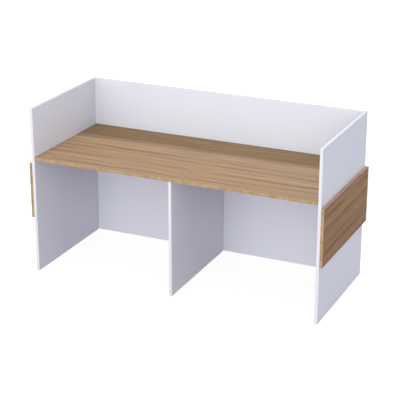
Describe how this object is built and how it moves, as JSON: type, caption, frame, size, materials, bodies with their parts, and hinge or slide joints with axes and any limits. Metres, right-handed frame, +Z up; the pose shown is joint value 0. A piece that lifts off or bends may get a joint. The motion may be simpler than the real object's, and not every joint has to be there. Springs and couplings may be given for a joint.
{
  "type": "study carrel",
  "caption": "Free-standing study carrel for two: white panel booth, wood-effect worktop, centre divider, wood-effect cladding band and levelling feet.",
  "frame": {"origin": "centre of the overall box at floor level, under the feet", "axes": "+X along the carrel's width, to the right of someone seated at it; +Y from the open front to the rear; +Z up"},
  "size_m": [1.872, 0.798, 1.045],
  "materials": {
    "white_board": "satin",
    "white_edge_band": "satin",
    "worktop_wood_effect": "satin",
    "worktop_edge_band": "satin",
    "cladding_wood_effect": "satin",
    "cladding_edge_band": "satin",
    "zinc": "satin",
    "steel": "satin",
    "beech": "matte",
    "white_nylon": "satin"
  },
  "bodies": {
    "carcass": {"back_panel": "white_board", "back_panel_top_edge_band": "white_edge_band", "cam_bolts": "steel", "cam_cover_caps": "white_nylon", "cam_locks": "zinc", "centre_divider": "white_board", "cladding_connector_plugs": "white_nylon", "cladding_connector_sockets": "white_nylon", "desktop": "worktop_wood_effect", "desktop_front_edge_band": "worktop_edge_band", "divider_front_edge_band": "white_edge_band", "dowels": "beech", "foot_sleeves": "steel", "left_cladding": "cladding_wood_effect", "left_cladding_bottom_edge_band": "cladding_edge_band", "left_cladding_front_edge_band": "cladding_edge_band", "left_cladding_top_edge_band": "cladding_edge_band", "left_side_panel": "white_board", "left_side_panel_front_edge_band": "white_edge_band", "left_side_panel_rear_edge_band": "white_edge_band", "left_side_panel_top_edge_band": "white_edge_band", "rear_cladding": "cladding_wood_effect", "rear_cladding_bottom_edge_band": "cladding_edge_band", "rear_cladding_left_edge_band": "cladding_edge_band", "rear_cladding_right_edge_band": "cladding_edge_band", "rear_cladding_top_edge_band": "cladding_edge_band", "right_cladding": "cladding_wood_effect", "right_cladding_bottom_edge_band": "cladding_edge_band", "right_cladding_front_edge_band": "cladding_edge_band", "right_cladding_top_edge_band": "cladding_edge_band", "right_side_panel": "white_board", "right_side_panel_front_edge_band": "white_edge_band", "right_side_panel_rear_edge_band": "white_edge_band", "right_side_panel_top_edge_band": "white_edge_band"},
    "front_left_foot": {"front_left_foot_base": "white_nylon"},
    "front_left_screw": {"front_left_foot_stud": "steel"},
    "rear_left_foot": {"rear_left_foot_base": "white_nylon"},
    "rear_left_screw": {"rear_left_foot_stud": "steel"},
    "front_middle_foot": {"front_middle_foot_base": "white_nylon"},
    "front_middle_screw": {"front_middle_foot_stud": "steel"},
    "rear_middle_foot": {"rear_middle_foot_base": "white_nylon"},
    "rear_middle_screw": {"rear_middle_foot_stud": "steel"},
    "front_right_foot": {"front_right_foot_base": "white_nylon"},
    "front_right_screw": {"front_right_foot_stud": "steel"},
    "rear_right_foot": {"rear_right_foot_base": "white_nylon"},
    "rear_right_screw": {"rear_right_foot_stud": "steel"}
  },
  "joints": [
    {"name": "front_left_foot_height", "type": "slide", "parent": "carcass", "child": "front_left_foot", "axis": [0, 0, -1], "range_m": [0, 0.01]},
    {"name": "front_left_screw_turn", "type": "hinge", "parent": "front_left_foot", "child": "front_left_screw", "pos_m": [-0.909, -0.349, 0.02], "axis": [0, 0, -1], "range_deg": [0, 2880]},
    {"name": "rear_left_foot_height", "type": "slide", "parent": "carcass", "child": "rear_left_foot", "axis": [0, 0, -1], "range_m": [0, 0.01]},
    {"name": "rear_left_screw_turn", "type": "hinge", "parent": "rear_left_foot", "child": "rear_left_screw", "pos_m": [-0.909, 0.331, 0.02], "axis": [0, 0, -1], "range_deg": [0, 2880]},
    {"name": "front_middle_foot_height", "type": "slide", "parent": "carcass", "child": "front_middle_foot", "axis": [0, 0, -1], "range_m": [0, 0.01]},
    {"name": "front_middle_screw_turn", "type": "hinge", "parent": "front_middle_foot", "child": "front_middle_screw", "pos_m": [0, -0.349, 0.02], "axis": [0, 0, -1], "range_deg": [0, 2880]},
    {"name": "rear_middle_foot_height", "type": "slide", "parent": "carcass", "child": "rear_middle_foot", "axis": [0, 0, -1], "range_m": [0, 0.01]},
    {"name": "rear_middle_screw_turn", "type": "hinge", "parent": "rear_middle_foot", "child": "rear_middle_screw", "pos_m": [0, 0.313, 0.02], "axis": [0, 0, -1], "range_deg": [0, 2880]},
    {"name": "front_right_foot_height", "type": "slide", "parent": "carcass", "child": "front_right_foot", "axis": [0, 0, -1], "range_m": [0, 0.01]},
    {"name": "front_right_screw_turn", "type": "hinge", "parent": "front_right_foot", "child": "front_right_screw", "pos_m": [0.909, -0.349, 0.02], "axis": [0, 0, -1], "range_deg": [0, 2880]},
    {"name": "rear_right_foot_height", "type": "slide", "parent": "carcass", "child": "rear_right_foot", "axis": [0, 0, -1], "range_m": [0, 0.01]},
    {"name": "rear_right_screw_turn", "type": "hinge", "parent": "rear_right_foot", "child": "rear_right_screw", "pos_m": [0.909, 0.331, 0.02], "axis": [0, 0, -1], "range_deg": [0, 2880]}
  ],
  "couplings": [
    {"joint": "front_left_screw_turn", "follows": "front_left_foot_height", "rad_per_m": 5026.5},
    {"joint": "rear_left_screw_turn", "follows": "rear_left_foot_height", "rad_per_m": 5026.5},
    {"joint": "front_middle_screw_turn", "follows": "front_middle_foot_height", "rad_per_m": 5026.5},
    {"joint": "rear_middle_screw_turn", "follows": "rear_middle_foot_height", "rad_per_m": 5026.5},
    {"joint": "front_right_screw_turn", "follows": "front_right_foot_height", "rad_per_m": 5026.5},
    {"joint": "rear_right_screw_turn", "follows": "rear_right_foot_height", "rad_per_m": 5026.5}
  ]
}
